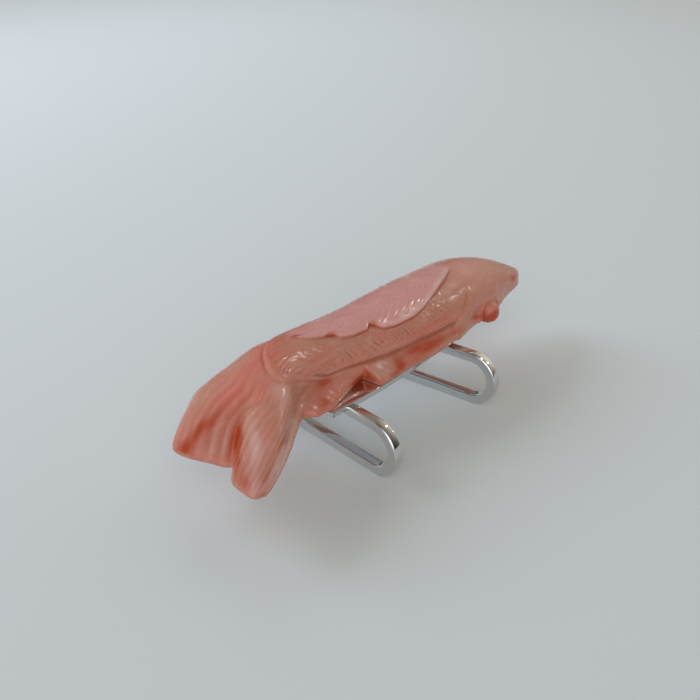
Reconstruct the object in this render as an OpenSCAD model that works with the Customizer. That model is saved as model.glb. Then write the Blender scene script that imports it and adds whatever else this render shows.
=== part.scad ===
// Sash ornament: a carp carved from one piece of pink coral, lying on a curved metal plate
// that is soldered across two oblong loops. The sash cord passes through both loops.
// The ornament lies on its loops. The carp looks along +X, +Z is up, and its dorsal fin is
// folded over its right flank, which faces -Y.

/* [Loops] */
// Outside height of a loop
loop_h = 6.5; // [6.2:0.1:7.5]
// Outside width of a loop, across the sash cord
loop_w = 18.8; // [16:0.1:22]
// Thickness of the loop wire
wire_t = 1.15; // [0.9:0.05:1.2]
// Width of the loop wire, measured along the sash cord
wire_w = 1.2; // [0.9:0.05:1.6]
// Distance between the two loops, measured along X
loop_span = 16.1; // [14:0.1:18]
// Angle that each loop is turned by, so that it crosses the curved plate squarely
loop_turn = 4.75; // [0:0.25:8]

/* [Plate] */
// Thickness of the plate
plate_t = 0.6; // [0.5:0.1:1]
// Width of the plate
plate_w = 8.6; // [6:0.1:9]
// Radius of the arc that the plate's right edge follows
plate_r = 100; // [80:5:200]
// How far the plate reaches towards the tail
plate_tail = 11.2; // [10.5:0.1:12]
// How far the plate reaches towards the head
plate_head = 12.6; // [11:0.1:14]
// How far the wire of each loop is sunk into the plate by the solder
solder = 0.1; // [0.05:0.05:0.2]

/* [Carving] */
// Gap that the glue fills between the plate and the coral
glue = 0.05; // [0.02:0.01:0.1]
// How far the folded dorsal fin stands off the flank at its free edge
fin_raise = 0.5; // [0:0.05:0.8]
// How far the gill cover stands off the shoulder behind it
gill_raise = 0.35; // [0:0.05:0.6]
// Radius of each eye
eye_r = 1.15; // [0.8:0.05:1.4]
// How far each eye stands off the head
eye_raise = 0.8; // [0.2:0.05:1]
// How far the right tail lobe lies over the left one
lobe_step = 0.6; // [0:0.05:1]
// Depth of the grooves between the rays of the tail
ray_depth = 0.1; // [0:0.02:0.2]

/* [Hidden] */
$fn = 96;

// Middle of the outline, seen from above: the origin goes there, on the loops' underside.
// All places along X are measured from the middle between the loops
outline_mid = [0.5, 0, 0];
// Right edge of the plate at the middle of its length
plate_edge = -3.3;
// Height of the plate's underside and of the coral's flat back
plate_z = loop_h - solder;
back_z = plate_z + plate_t + glue;

// Sections of the body and tail, head first. Each row is one section.
// at: place along X; mid: its middle in Y; half: half its width at the foot of the dome;
// foot: height of that foot over the back; high: height of the top over the back;
// low: how far the underside rises off the back; fill: power of the dome, lower is squarer
AT = 0; MID = 1; HALF = 2; FOOT = 3; HIGH = 4; LOW = 5; FILL = 6;
BODY = [
    // at     mid   half  foot  high  low   fill
    [ 26.4, -0.2,  0.6,   1.1,  1.9,  0.8,  0.60],
    [ 25.6, -0.1,  1.3,   1.0,  2.4,  0.6,  0.62],
    [ 23.8,  0.3,  2.3,   0.8,  3.3,  0.3,  0.70],
    [ 20.4,  0.8,  3.8,   0.8,  4.6,  0.1,  0.80],
    [ 16.4,  1.4,  4.9,   1.1,  5.6,  0.0,  0.85],
    [ 12.4,  1.6,  5.1,   1.5,  6.0,  0.0,  0.85],
    [  6.4,  1.9,  5.2,   1.8,  6.0,  0.0,  0.85],
    [  0.4,  2.4,  4.9,   1.9,  5.7,  0.0,  0.85],
    [ -4.6,  3.1,  4.4,   1.9,  5.6,  0.0,  0.85],
    [ -8.6,  3.8,  4.0,   1.8,  5.5,  0.0,  0.85],
    [-12.6,  4.3,  4.2,   1.4,  5.5,  0.0,  0.75],
    [-15.6,  3.4,  5.1,   1.1,  4.7,  0.0,  0.60],
    [-19.6,  2.2,  6.1,   0.6,  3.2, -0.2,  0.50],
    [-23.6,  0.8,  6.3,   0.1,  1.9, -0.6,  0.40],
    [-26.4,  0.3,  5.7,  -0.3,  0.9, -1.1,  0.35],
];

// Free edges of the low fins along each flank: how far out they stand past the dome's foot
OUT = 1;
RIGHT_FLARE = [
    // at    out
    [ 27.0,  0.0],
    [ 13.0,  0.1],
    [  4.4,  0.45],
    [  0.4,  0.95],
    [ -3.9,  1.9],
    [ -4.5, -0.4],
    [-10.6,  2.6],
    [-12.6,  2.3],
    [-13.7,  0.6],
    [-14.6,  0.0],
    [-27.0,  0.0],
];
LEFT_FLARE = [
    // at    out
    [ 27.0,  0.0],
    [ 13.0,  0.0],
    [  4.4,  0.3],
    [  0.4,  0.6],
    [ -3.9,  1.2],
    [ -4.5,  0.2],
    [-10.6,  1.3],
    [-12.6,  1.0],
    [-14.6,  0.0],
    [-27.0,  0.0],
];

// Line of the fold over the dome, as an angle up from the right: the scalloped free edge of
// the dorsal fin on the body, then the edge of the right tail lobe where it lies on the left
ANGLE = 1;
FOLD = [
    // at    angle
    [ 27.0,  80],
    [ 14.0,  88],
    [ 12.7,  80],
    [ 11.0,  71],
    [  9.0,  63],
    [  6.2,  52],
    [  4.7,  46],
    [  3.0,  42],
    [  0.5,  42],
    [ -1.0,  45],
    [ -1.5,  51],
    [ -2.0,  61],
    [ -2.7,  53],
    [ -4.6,  52],
    [ -5.8,  56],
    [ -6.5,  70],
    [ -7.2,  69],
    [ -8.4,  76],
    [ -9.2,  88],
    [-10.0, 100],
    [-15.0,  70],
    [-18.0,  66],
    [-19.4,  74],
    [-21.0,  81],
    [-22.7,  82],
    [-24.6,  77],
    [-26.4,  71],
];

// Trailing edge of the tail: how far it stops short, for each place across from right to left
SHORT = 1;
TAIL_EDGE = [
    // across short
    [0.00,  2.0],
    [0.06,  1.1],
    [0.13,  0.9],
    [0.22,  1.5],
    [0.30,  2.2],
    [0.38,  3.0],
    [0.46,  2.1],
    [0.60,  1.1],
    [0.78,  0.9],
    [0.92,  1.9],
    [1.00,  3.3],
];

// Back edge of the gill cover: its place along X for each angle up from the side
PLACE = 1;
GILL = [
    // angle place
    [ 0,  8.8],
    [ 5,  9.5],
    [16, 10.5],
    [24, 11.4],
    [45, 13.0],
    [70, 15.5],
];

// Half the length over which a carved step rises
step_half = 0.6;
// Gill cover: the length over which it sinks back into the head, the angle at which it ends
// near the top of the head, and the angle over which it fades out there
gill_run = 5;
gill_top = 62;
gill_fade = 25;
// Dorsal fin: where it starts and ends along X, the length over which it rises behind the
// forehead, the angle of the ridge that it grows from, and the angle over which it lifts off
fin_front = 14;
fin_end = -9.6;
fin_start_run = 4;
ridge = 105;
fin_lift = 50;
// Rounded end of the scaled tail root: its farthest place and the angle of that place, how far
// it bends back 45 degrees away from there, how far it stands out, and its run to the body
root_end = -14.9;
root_angle = 62;
root_bend = 3.1 / pow(45, 2);
root_raise = 0.3;
root_run = 4;
// Middle of the right eye, and how much wider than the eye its swelling is. The left eye faces
// the right one across the head
eye_at = [15.0, -3.7, back_z + 1.0];
eye_spread = 1.5;
// Groove between the low fins and the flank: its depth, half its width as an angle, and the
// places between which it rises from nothing at the tail and sinks back to nothing at the head
crease = 0.22;
crease_half = 14;
crease_tail = [-14.5, -11.5];
crease_head = [15, 11];
// How round the low fins are
fin_bulge = 0.25;
// Where the tail lobes start, the length over which one comes to lie over the other, the angle
// over which the lower one rises again, and the length of their end that is rounded off
lobe_start = -16.5;
lobe_run = 4;
lobe_fade = 35;
rim = 1.3;
// Share of its thickness that the tail keeps at the very end of the rounding
rim_left = 0.1;
// Places between which the grooves of the tail's rays grow to their full depth
ray_start = [-15.9, -18.9];
// Share of the width that the points across the flat back reach over
back_share = 0.85;
// How far the tip of the nose stands out in front of the first section
nose_reach = 0.2;
// How far a cutting shape reaches past what it cuts
cut = 1;

// Number of sections, and of points on each fin, on each side of the fold and across the back
SECTIONS = 100;
FIN_POINTS = 5;
NEAR_POINTS = 14;
FAR_POINTS = 17;
BACK_POINTS = 6;
// Number of lines of points along the dome for each ray of the tail
RAY_LINES = 3;
// Half the angle that the step at the fold takes up
fold_half = 1;

HEAD = BODY[0];
NOSE = HEAD[AT];
TAIL = BODY[len(BODY) - 1][AT];

// Straight and smooth readings of a table's column at a place, whichever way the table runs
function runs(t) = t[0][0] < t[len(t) - 1][0] ? 1 : -1;
function row(t, x, i = 0) = i >= len(t) - 2 || runs(t) * (t[i + 1][0] - x) > 0 ? i : row(t, x, i + 1);
function held(x, a, b) = min(max(x, min(a, b)), max(a, b));
function part_way(t, i, x) = (held(x, t[i][0], t[i + 1][0]) - t[i][0]) / (t[i + 1][0] - t[i][0]);
function straight(t, x, c) =
    let (i = row(t, x))
    t[i][c] + part_way(t, i, x) * (t[i + 1][c] - t[i][c]);
function slope(t, i, c) =
    let (a = max(i - 1, 0), b = min(i + 1, len(t) - 1))
    (t[b][c] - t[a][c]) / (t[b][0] - t[a][0]);
function smooth(t, x, c) =
    let (i = row(t, x), s = part_way(t, i, x), run = t[i + 1][0] - t[i][0])
    (1 + 2 * s) * pow(1 - s, 2) * t[i][c] + s * pow(1 - s, 2) * run * slope(t, i, c)
    + s * s * (3 - 2 * s) * t[i + 1][c] + s * s * (s - 1) * run * slope(t, i + 1, c);

// A soft step from 0 at a to 1 at b, and a soft bump of a given half width
function rise(x, a, b) = let (s = held((x - a) / (b - a), 0, 1)) s * s * (3 - 2 * s);
function bump(x, half) = abs(x) >= half ? 0 : pow(cos(90 * x / half), 2);

function fold(x) = straight(FOLD, x, ANGLE);
function shortened(x, a) = rise(x, lobe_start, TAIL) * smooth(TAIL_EDGE, a / 180, SHORT);

// A carved step: nothing below its edge, full height just past it, sinking away over a run
function step(x, edge, run) =
    rise(x, edge - step_half, edge + step_half) * (1 - rise(x, edge, edge + run));

// How far each carved feature stands off the plain dome, at a section and an angle
function dorsal_relief(x, a) =
    a < fold(x) || a > ridge || x > fin_front || x < fin_end ? 0
    : fin_raise * rise(a, ridge, ridge - fin_lift) * rise(x, fin_front, fin_front - fin_start_run);
function gill_relief(x, a) =
    let (side = min(a, 180 - a), fade = 1 - rise(side, gill_top - gill_fade, gill_top))
    gill_raise * step(x, straight(GILL, side, PLACE), gill_run) * fade;
function root_relief(x, a) =
    root_raise * step(x, root_end + root_bend * pow(a - root_angle, 2), root_run);
function lobe_relief(x, a) =
    a < fold(x) ? 0
    : -lobe_step * rise(x, lobe_start, lobe_start - lobe_run)
      * (1 - rise(a, fold(x), fold(x) + lobe_fade));
function crease_relief(x, a) =
    -crease * bump(min(a, 180 - a), crease_half)
    * rise(x, crease_tail[0], crease_tail[1]) * rise(x, crease_head[0], crease_head[1]);
function relief(x, a, groove) =
    dorsal_relief(x, a) + gill_relief(x, a) + root_relief(x, a) + lobe_relief(x, a)
    + crease_relief(x, a) - groove * ray_depth * rise(x, ray_start[0], ray_start[1]);

// Each eye swells out of the head round its middle
function other_side(p) = [p.x, 2 * smooth(BODY, p.x, MID) - p.y, p.z];
function eye_swell(p, middle) = eye_raise * bump(norm(p - middle), eye_spread * eye_r);
function with_eyes(p) =
    p + [0, eye_swell(p, other_side(eye_at)) - eye_swell(p, eye_at), 0];

// The tail's rim is rounded: its top and underside draw together at the trailing edge
function rim_share(x) =
    x > TAIL + rim ? 1 : sqrt(max(1 - pow((TAIL + rim - x) / rim, 2), pow(rim_left, 2)));
function rimmed(x, z) =
    let (middle = back_z + (smooth(BODY, x, HIGH) + smooth(BODY, x, LOW)) / 2)
    middle + (z - middle) * rim_share(x);

// A point over the dome before the eyes swell, at a section and an angle up from the right
function bare_point(x, a, groove = 0) =
    let (high = smooth(BODY, x, HIGH), foot = smooth(BODY, x, FOOT), r = relief(x, a, groove))
    [x + shortened(x, a),
     smooth(BODY, x, MID) - (smooth(BODY, x, HALF) + r) * cos(a),
     rimmed(x, back_z + foot + (high - foot) * pow(sin(a), smooth(BODY, x, FILL)) + r * sin(a))];
function dome_point(x, a, groove) = with_eyes(bare_point(x, a, groove));

// A point of a low fin. side: -1 right, 1 left; s: 0 at the free edge, 1 at the dome's foot
function fin_point(x, side, s) =
    let (foot = bare_point(x, side < 0 ? 0 : 180),
         out = straight(side < 0 ? RIGHT_FLARE : LEFT_FLARE, x, OUT),
         low = rimmed(x, back_z + smooth(BODY, x, LOW)))
    with_eyes([
        foot.x,
        foot.y + side * (out * (1 - s) + fin_bulge * sin(180 * s)),
        low + (foot.z - low) * s
    ]);

// A point of the flat back, kept a little inside the edges
function back_point(x, a) =
    [x + shortened(x, a),
     smooth(BODY, x, MID) - back_share * smooth(BODY, x, HALF) * cos(a),
     rimmed(x, back_z + smooth(BODY, x, LOW))];

// All the points round one section: right fin, dome to the fold, dome past it, left fin, back.
// One line along the dome in each ray is the bottom of a groove between two rays of the tail
function near_angle(x, i) = (fold(x) - fold_half) * i / NEAR_POINTS;
function far_angle(x, i) = 180 + (fold(x) + fold_half - 180) * i / FAR_POINTS;
function ray_groove(i) = i % RAY_LINES == RAY_LINES - 1 ? 1 : 0;
function section(x) = concat(
    [for (i = [0:FIN_POINTS - 1]) fin_point(x, -1, i / FIN_POINTS)],
    [for (i = [0:NEAR_POINTS]) dome_point(x, near_angle(x, i), ray_groove(i))],
    [for (i = [FAR_POINTS:-1:0]) dome_point(x, far_angle(x, i), ray_groove(i))],
    [for (i = [FIN_POINTS - 1:-1:0]) fin_point(x, 1, i / FIN_POINTS)],
    [for (i = [BACK_POINTS:-1:1]) back_point(x, 180 * i / (BACK_POINTS + 1))]
);
ROUND = 2 * FIN_POINTS + NEAR_POINTS + FAR_POINTS + 2 + BACK_POINTS;
TOP = ROUND - BACK_POINTS;

// The rim closes by a row of triangles between the top's points and the back's
function under(i) = (ROUND - round(i * (BACK_POINTS + 1) / (TOP - 1))) % ROUND;
function rim_faces(first) = [for (i = [0:TOP - 2]) each [
    if (under(i) != i && under(i) != i + 1) [first + i, first + under(i), first + i + 1],
    if (under(i + 1) != under(i) && under(i + 1) != i + 1)
        [first + under(i), first + under(i + 1), first + i + 1]
]];

module coral_fish() {
    sections = [for (i = [0:SECTIONS]) section(NOSE + (TAIL - NOSE) * i / SECTIONS)];
    nose = (sections[0][0] + sections[0][TOP - 1]) / 2
        + [nose_reach, 0, (HEAD[HIGH] - HEAD[LOW]) / 2];
    nose_point = (SECTIONS + 1) * ROUND;
    walls = [for (i = [0:SECTIONS - 1], j = [0:ROUND - 1])
        let (a = i * ROUND + j, b = i * ROUND + (j + 1) % ROUND)
        each [[a, b + ROUND, b], [a, a + ROUND, b + ROUND]]];
    lips = [for (j = [0:ROUND - 1]) [(j + 1) % ROUND, nose_point, j]];
    color("salmon") translate(-outline_mid)
        polyhedron([for (s = sections) each s, nose],
                   concat(walls, lips, rim_faces(SECTIONS * ROUND)));
}

module oblong(w, h) {
    square([w - h, h], center = true);
    for (side = [-1, 1]) translate([side * (w - h) / 2, 0]) circle(d = h);
}

module cord_loop() {
    rotate([90, 0, 90]) translate([0, loop_h / 2, -wire_w / 2])
        linear_extrude(wire_w) difference() {
            oblong(loop_w, loop_h);
            oblong(loop_w - 2 * wire_t, loop_h - 2 * wire_t);
        }
}

module plate() {
    translate([0, 0, plate_z]) intersection() {
        translate([0, plate_edge + plate_r, 0]) difference() {
            cylinder(r = plate_r, h = plate_t);
            translate([0, 0, -cut]) cylinder(r = plate_r - plate_w, h = plate_t + 2 * cut);
        }
        translate([-plate_tail, plate_edge - cut, 0])
            cube([plate_tail + plate_head, 2 * plate_w, plate_t]);
    }
}

module cord_fitting() {
    color("silver") translate(-outline_mid) {
        plate();
        for (end = [-1, 1])
            translate([end * loop_span / 2, 0, 0]) rotate([0, 0, end * loop_turn]) cord_loop();
    }
}

coral_fish();
cord_fitting();
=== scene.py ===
"""A carp obidome: a coral carving glued to a metal plate on two cord loops.

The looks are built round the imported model. Sizes are in millimetres until a point is placed,
and places along the carp are measured from the middle between the two loops.
"""

from __future__ import annotations

import logging
import math
from dataclasses import dataclass
from enum import Enum

import bmesh
import bpy
import numpy as np
from mathutils import Matrix, Vector


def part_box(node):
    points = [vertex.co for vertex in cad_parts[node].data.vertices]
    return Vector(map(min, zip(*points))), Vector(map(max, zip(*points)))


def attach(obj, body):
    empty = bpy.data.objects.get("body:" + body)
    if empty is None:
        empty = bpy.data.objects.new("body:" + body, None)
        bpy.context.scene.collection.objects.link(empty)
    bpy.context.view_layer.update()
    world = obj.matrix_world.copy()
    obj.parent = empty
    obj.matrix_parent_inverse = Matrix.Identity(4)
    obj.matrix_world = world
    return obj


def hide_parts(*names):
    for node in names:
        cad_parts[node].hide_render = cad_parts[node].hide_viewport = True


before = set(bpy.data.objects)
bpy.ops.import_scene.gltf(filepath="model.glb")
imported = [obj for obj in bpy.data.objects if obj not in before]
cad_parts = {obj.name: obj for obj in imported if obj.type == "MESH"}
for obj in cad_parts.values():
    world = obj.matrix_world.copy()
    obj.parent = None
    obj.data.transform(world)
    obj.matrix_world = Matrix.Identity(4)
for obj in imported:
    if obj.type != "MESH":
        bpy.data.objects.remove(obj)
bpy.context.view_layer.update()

MM = 0.001
# how far the frame's origin lies from the middle between the loops, towards the head
MIDDLE = 0.5
# a distance, in radii of an eye, that stands for every place away from it
FAR_OFF = 99.0
BODY = "root"
LOG = logging.getLogger("obidome")

Rows = tuple[tuple[float, ...], ...]
Array = np.ndarray
Form = tuple[Array, Array]
Point = tuple[float, float, float]
Colour = tuple[float, float, float]
Socket = bpy.types.NodeSocket


class Side(Enum):
    """The carp's two sides, as the sign of their Y."""

    RIGHT = -1
    LEFT = 1


class Face(Enum):
    """The faces of the carving, in their order round a section."""

    RIGHT_FIN = "right fin"
    DOME = "dome"
    LEFT_FIN = "left fin"
    UNDERSIDE = "underside"


class Tint(Enum):
    """Colours that vary over the carving, each kept as a mesh attribute. The groove tint is
    painted shade; the others are the coral's own, with a few patches of painted shade and light.
    """

    PINK = "pink"
    PALE = "pale"
    RUST = "rust"
    BLUSH = "blush"
    # painted shade: darkening where the cuts, strokes, creases and the notch's recess lie in
    # shade
    GROOVE_SHADE = "groove"


class Part(Enum):
    """Columns of the section table."""

    MID = 1
    HALF = 2
    FOOT = 3
    HIGH = 4
    LOW = 5
    FILL = 6


def straight(rows: Rows, x: Array, column: int = 1) -> Array:
    """Reads a table with straight lines between its rows.

    Args:
        rows: The table, whose first column is the place.
        x: The places to read it at.
        column: The column that is read.

    Returns:
        The value at each place, held at the table's ends.
    """
    ordered = sorted(rows)
    return np.interp(x, [row[0] for row in ordered], [row[column] for row in ordered])


def smooth(rows: Rows, x: Array, column: int = 1) -> Array:
    """Reads a table along a smooth curve through its rows.

    Args:
        rows: The table, whose first column is the place.
        x: The places to read it at.
        column: The column that is read.

    Returns:
        The value at each place, held at the table's ends.
    """
    ordered = np.array(sorted(rows))
    at, value = ordered[:, 0], ordered[:, column]
    before = np.clip(np.arange(len(at)) - 1, 0, None)
    after = np.clip(np.arange(len(at)) + 1, None, len(at) - 1)
    slope = (value[after] - value[before]) / (at[after] - at[before])
    x = np.clip(x, at[0], at[-1])
    i = np.clip(np.searchsorted(at, x, side="right") - 1, 0, len(at) - 2)
    run = at[i + 1] - at[i]
    s = (x - at[i]) / run
    return (
        (1 + 2 * s) * (1 - s) ** 2 * value[i]
        + s * (1 - s) ** 2 * run * slope[i]
        + s * s * (3 - 2 * s) * value[i + 1]
        + s * s * (s - 1) * run * slope[i + 1]
    )


def rise(x: Array, start: float | Array, end: float | Array) -> Array:
    """A soft step from 0 at start to 1 at end."""
    s = np.clip((x - start) / (end - start), 0, 1)
    return s * s * (3 - 2 * s)


def bump(x: Array, half: float | Array) -> Array:
    """A soft bump of height 1 at 0, which is 0 from half outwards."""
    return np.where(np.abs(x) < half, np.cos(np.pi / 2 * x / half) ** 2, 0)


def rolls(rows: Rows, x: Array) -> Array:
    """Soft rolls and grooves side by side.

    Args:
        rows: The place, half width and height of each, below 0 for a groove.
        x: The places to read the heights at.

    Returns:
        The height at each place.
    """
    return sum(height * bump(x - at, half) for at, half, height in rows)


def ridges(phase: Array, level: float = 0.6) -> Array:
    """Rounded ridges with sharp grooves between them.

    Args:
        phase: Counts the ridges, one for each whole step.
        level: The height, out of 1, that is taken as 0.

    Returns:
        The height at each phase.
    """
    return np.abs(np.sin(np.pi * phase)) - level


def ripple(x: Array, y: Array) -> Array:
    """The slight unevenness that hand polishing leaves.

    Args:
        x: Places one way over the surface, where a ripple is about two to three long.
        y: Places the other way.

    Returns:
        The height at each place, between about -1 and 1.
    """
    first = np.sin(1.9 * x + 1.1 * y + 1.4 * np.sin(0.8 * y - 0.5 * x))
    second = np.sin(2.3 * y - 1.3 * x + 1.2 * np.sin(1.1 * x + 0.4))
    third = np.sin(4.1 * x + 2.7 * y + np.sin(2.2 * y))
    return 0.45 * first + 0.35 * second + 0.2 * third


def up_from_foot(a: Array) -> Array:
    """Angle up from the nearer foot of the dome."""
    return np.minimum(a, 180 - a)


@dataclass(frozen=True)
class Patch:
    """A soft patch of colour on the carving.

    Attributes:
        tint: The colour that it adds.
        at: Its place along the carp.
        around: Its angle up from the right, below 0 on the right fins.
        length: Half its length along the carp.
        width: Half its width, in degrees.
        strength: How strong it is in its middle.
        lean: How many degrees its middle line turns for each millimetre towards the head.
    """

    tint: Tint
    at: float
    around: float
    length: float
    width: float
    strength: float = 1.0
    lean: float = 0.0

    def over(self, x: Array, around: Array) -> Array:
        """How strong the patch is over the carving.

        Args:
            x: Places along the carp.
            around: Angles, past both feet on the fins.

        Returns:
            The strength at each place.
        """
        along = (x - self.at) / self.length
        across = (around - self.around - self.lean * (x - self.at)) / self.width
        return self.strength * np.exp(-(along**2) - across**2)


@dataclass
class Carving:
    """The carp, carved from one piece of coral.

    The round of a section runs from the free edge of the right fin over the dome to the free
    edge of the left fin, and back under the flat underside. The angle is 0 at the dome's right
    foot, 90 over the ridge and 180 at its left foot, and goes on past both feet on the fins.
    """

    glue: float = 0.05
    # rows of vertices along the carp, columns over the dome up to the folded edge, over the
    # fold and down the far side, and columns on the right fin, the left fin and the underside
    rows: int = 400
    dome_columns: tuple[int, int, int] = (58, 64, 46)
    side_columns: tuple[int, int, int] = (18, 14, 42)
    # how far columns crowd towards the folded edge, how near to each other vertices are
    # joined, and the angles that a low fin takes up past the dome's foot
    crowding: float = 1.25
    weld: float = 0.0008
    fin_degrees: float = 30.0
    # the nose's cap, the rims of the tail's two faces, and the flat back's share of the width
    nose_reach: float = 0.2
    rim: float = 1.3
    under_rim: float = 4.0
    back_share: float = 0.85
    # at, mid, half, foot, high, low, fill
    sections: Rows = (
        (26.2, -0.1, 0.6, 1.1, 1.8, 0.9, 0.60),
        (25.5, -0.05, 1.3, 1.0, 2.2, 0.7, 0.62),
        (23.8, 0.25, 2.45, 0.8, 3.2, 0.4, 0.70),
        (20.4, 0.9, 3.65, 0.8, 4.8, 0.15, 0.80),
        (16.4, 1.4, 4.9, 1.1, 5.8, 0.0, 0.85),
        (12.4, 1.6, 5.1, 1.5, 6.0, 0.0, 0.85),
        (6.4, 1.9, 5.2, 1.8, 6.0, 0.0, 0.85),
        (0.4, 2.4, 4.9, 1.9, 5.7, 0.0, 0.85),
        (-4.6, 3.1, 4.4, 1.9, 5.6, 0.0, 0.85),
        (-8.6, 3.8, 4.0, 1.8, 5.5, 0.0, 0.85),
        (-12.6, 4.3, 4.2, 1.4, 5.5, 0.0, 0.75),
        (-15.6, 3.4, 5.1, 1.1, 4.7, 0.0, 0.60),
        (-19.6, 2.4, 6.4, 0.6, 3.2, -0.2, 0.50),
        (-23.6, 1.0, 6.55, 0.0, 1.9, -0.6, 0.50),
        (-26.4, -0.1, 6.2, -0.4, 0.9, -1.1, 0.50),
    )
    # at, how far the low fins stand out past the dome's foot
    right_flare: Rows = (
        (27.0, -0.3), (23.0, -0.5), (19.0, -0.4), (15.0, -0.4), (11.0, 0.1), (7.5, 0.6),
        (4.4, 0.95), (0.4, 1.25), (-4.2, 2.1), (-4.5, -0.4), (-10.6, 2.6), (-12.6, 2.3),
        (-13.7, 0.6), (-15.0, 0.3), (-18.0, 0.4), (-21.0, 0.1), (-24.0, 0.0), (-27.0, 0.3),
    )
    left_flare: Rows = (
        (27.0, 0.0), (13.0, 0.0), (4.4, 0.3), (0.4, 0.6), (-3.9, 1.2), (-4.5, 0.2),
        (-10.6, 1.3), (-12.6, 1.0), (-14.6, 0.0), (-27.0, 0.0),
    )
    # the low fins: spacing of their rays, depth of these outwards and upwards, and how far
    # the fins bulge everywhere, along the body, and for each millimetre that they stand out
    low_ray_gap: float = 0.85
    low_ray_cut: tuple[float, float] = (0.012, 0.01)
    low_full: tuple[float, float, float] = (0.05, 0.2, 0.22)
    # at, angle of the dorsal fin's free edge, then of the upper tail lobe's edge
    fold_line: Rows = (
        (27.0, 80), (14.0, 88), (12.7, 80), (11.0, 71), (9.0, 63), (6.2, 52), (4.7, 46),
        (3.0, 42), (0.5, 42), (-1.0, 45), (-1.5, 51), (-2.0, 61), (-2.7, 53), (-4.6, 52),
        (-5.8, 56), (-6.5, 70), (-7.2, 69), (-8.4, 76), (-9.2, 88), (-10.0, 100),
        (-15.0, 70), (-18.0, 67), (-19.4, 75), (-21.0, 82), (-22.7, 84.5), (-24.6, 83),
        (-26.4, 79.5),
    )
    # the dorsal fin: the ridge's angle, its height, its rolled edge, and its rays' spacing,
    # lean for each degree and depth
    ridge: float = 105.0
    fin_raise: float = 0.34
    fin_roll: float = 0.05
    fin_ray_gap: float = 1.15
    fin_ray_lean: float = 0.17
    fin_ray_cut: float = 0.04
    # the scales: height in degrees, length, how far their edges curve, and how high they stand
    scale_high: float = 8.5
    scale_long: float = 0.95
    scale_curve: float = 0.30
    scale_raise: float = 0.036
    # the graver's strokes: spacing and depth of the upright ones, then of those across them
    stroke_gap: tuple[float, float] = (0.62, 0.83)
    stroke_cut: tuple[float, float] = (0.038, 0.022)
    # angle up from the side, place of the gill cover's back edge
    gill_line: Rows = ((0, 8.8), (5, 9.5), (16, 10.5), (24, 11.4), (45, 13.0), (70, 15.5))
    gill_raise: float = 0.26
    # place past the edge, half width, height
    gill_rolls: Rows = ((-0.35, 0.4, -0.04), (1.3, 0.3, -0.03))
    # the scaled tail root: its end, that end's angle and curve, its height, and its fan of
    # strokes, with their spacing in degrees and their depth
    root_end: float = -14.9
    root_angle: float = 62.0
    root_curve: float = 3.1 / 45**2
    root_raise: float = 0.24
    root_rolls: Rows = ((-0.45, 0.45, -0.06), (0.95, 0.3, -0.03))
    root_fan_gap: float = 7.5
    root_fan_cut: float = 0.045
    # the tail: where its lobes part, how far the far one lies lower, the rays on each, and
    # the depth of the broad rays and of the fine ones
    lobe_start: float = -16.5
    lobe_step: float = 0.6
    lobe_rays: tuple[float, float] = (8.5, 9.5)
    lobe_ray_cut: tuple[float, float] = (0.045, 0.006)
    lobe_ray_level: float = 0.62
    # place across from right to left, how far the tail stops short there
    tail_edge: Rows = (
        (0.00, 2.1), (0.03, 1.55), (0.08, 1.25), (0.18, 1.1), (0.27, 1.15), (0.356, 1.5),
        (0.43, 2.9), (0.478, 2.46), (0.556, 2.0), (0.628, 1.43), (0.717, 1.05), (0.80, 1.05),
        (0.889, 1.63), (0.95, 2.4), (1.00, 3.3),
    )
    # at, angle of the line between the lips
    lip_line: Rows = ((26.4, 44), (25.4, 38), (24.2, 31), (22.3, 20), (20.5, 14))
    lip_cut: float = 0.05
    # at, angle of the fine line along the top of the low fins
    foot_line: Rows = (
        (9.0, 2), (8.3, 3), (4.0, 1.5), (-2.0, 0.5), (-6.0, 4), (-9.0, 6), (-10.5, 17),
    )
    foot_cut: float = 0.2
    foot_hollow: float = 0.22
    # the eyes: place above the back, way of looking, radius, and how softly they meet the head
    eye_at: Point = (15.7, -3.15, 0.72)
    eye_look: Point = (0.05, -0.96, -0.275)
    eye_r: float = 1.42
    eye_blend: float = 1.0
    # distance from the eye's axis in radii, half width, height: lids, socket and inner ring
    eye_rolls: Rows = ((1.42, 0.34, 0.12), (1.1, 0.2, -0.14), (0.62, 0.14, -0.09))
    ripple_raise: float = 0.035
    # colours: strength of the dorsal fin's pale edge in front and behind, of the orange-red
    # line under it, partly coral colour and partly painted shade of the overhang, and of the
    # rust and pale streaks on the tail, then how deep a cut and a stroke are where their
    # painted shade is darkest
    edge_pale: tuple[float, float] = (0.75, 0.35)
    edge_rust_and_shade: float = 0.55
    streak_rust: float = 0.22
    streak_pale: float = 0.24
    dark_cut: float = 0.1
    dark_stroke: float = 0.05

    def __post_init__(self) -> None:
        """Reads the height of the coral's back off the plate, and counts the columns."""
        self.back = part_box("cord_fitting")[1].z / MM + self.glue
        self.nose, self.tail = self.sections[0][0], self.sections[-1][0]
        right, left, under = self.side_columns
        self.columns = dict(zip(Face, (right, sum(self.dome_columns), left, under)))

    def at(self, x: Array, part: Part) -> Array:
        """One column of the section table at each place."""
        return smooth(self.sections, x, part.value)

    def fold(self, x: Array) -> Array:
        """Angle of the folded edge at each place."""
        return straight(self.fold_line, x)

    def ray_share(self, x: Array, a: Array) -> Array:
        """Which ray of the tail each point lies on, counted across both lobes.

        Args:
            x: Places along the carp.
            a: Angles over the dome.

        Returns:
            The rays' numbers, with the share that is past each.
        """
        fold, (near, far) = self.fold(x), self.lobe_rays
        return np.where(a < fold, near * a / fold, far * (a - fold) / (180 - fold))

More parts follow.
